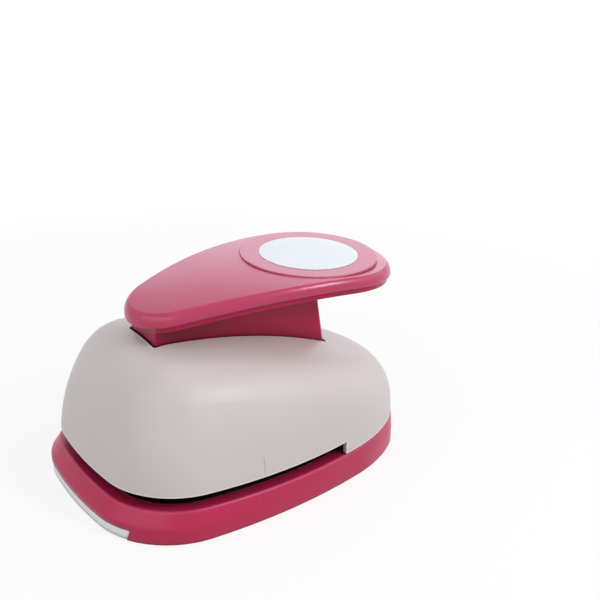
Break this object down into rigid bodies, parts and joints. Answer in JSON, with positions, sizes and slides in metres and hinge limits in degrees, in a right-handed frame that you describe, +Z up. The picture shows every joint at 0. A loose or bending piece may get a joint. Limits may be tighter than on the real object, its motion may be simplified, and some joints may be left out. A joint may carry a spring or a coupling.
{
  "type": "circle punch",
  "caption": "Lever punch that cuts a large circle from paper: domed housing on a flared base, wide thumb lever hinged in front.",
  "frame": {"origin": "centre of the bounding box at the underside of the feet", "axes": "+Z up, -Y towards the paper mouth at the tall front, lever hinge axis along X"},
  "size_m": [0.105, 0.15, 0.087],
  "materials": {
    "base_pink": "glossy moulded plastic, deep rose",
    "lever_pink": "glossy moulded plastic, deep rose",
    "cap_pink": "glossy moulded plastic, rose",
    "shell_grey": "fine satin plastic, warm pale grey",
    "disc_white": "smooth printed-card white",
    "cover_grey": "satin plastic, pale grey",
    "holder_black": "satin filled nylon",
    "bushing_white": "satin acetal",
    "plate_steel": "cold-rolled strip, brushed",
    "tool_steel": "ground hardened steel",
    "zinc_steel": "bright zinc plate",
    "spring_steel": "drawn spring wire",
    "foot_rubber": "matt rubber"
  },
  "bodies": {
    "case": {"base": "base_pink", "bottom_cover": "cover_grey", "foot_1": "foot_rubber", "foot_2": "foot_rubber", "foot_3": "foot_rubber", "foot_4": "foot_rubber", "cover_screws": "zinc_steel", "die_plate": "plate_steel", "die_screws": "zinc_steel", "paper_stop": "plate_steel", "guide_plate": "plate_steel", "die_rivets": "zinc_steel", "hinge_bracket": "plate_steel", "bracket_rivets": "zinc_steel", "hinge_pin": "zinc_steel", "pin_clips": "spring_steel", "post_rings": "spring_steel", "housing": "shell_grey", "housing_screws": "zinc_steel", "guide_post_1": "zinc_steel", "return_spring_1": "spring_steel", "guide_post_2": "zinc_steel", "return_spring_2": "spring_steel", "guide_post_3": "zinc_steel", "return_spring_3": "spring_steel", "guide_post_4": "zinc_steel", "return_spring_4": "spring_steel"},
    "lever": {"lever_body": "lever_pink", "lever_cap": "cap_pink", "label_disc": "disc_white", "press_pin": "zinc_steel", "cap_screws": "zinc_steel"},
    "punch": {"cutter": "tool_steel", "cutter_holder": "holder_black", "cutter_screws": "zinc_steel", "wear_pad": "bushing_white", "bushing_1": "bushing_white", "bushing_2": "bushing_white", "bushing_3": "bushing_white", "bushing_4": "bushing_white"}
  },
  "joints": [
    {"name": "lever_hinge", "type": "hinge", "parent": "case", "child": "lever", "pos_m": [0, -0.034, 0.056], "axis": [1, 0, 0], "range_deg": [-13.5, 0], "stiffness_Nm_per_rad": 3, "springref_deg": 8.59},
    {"name": "punch_slide", "type": "slide", "parent": "case", "child": "punch", "axis": [0, 0, 1], "range_m": [-0.00415, 0], "deforming": ["return_spring_1", "return_spring_2", "return_spring_3", "return_spring_4"]}
  ],
  "couplings": [
    {"joint": "punch_slide", "follows": "lever_hinge", "m_per_rad": 0.0176}
  ]
}
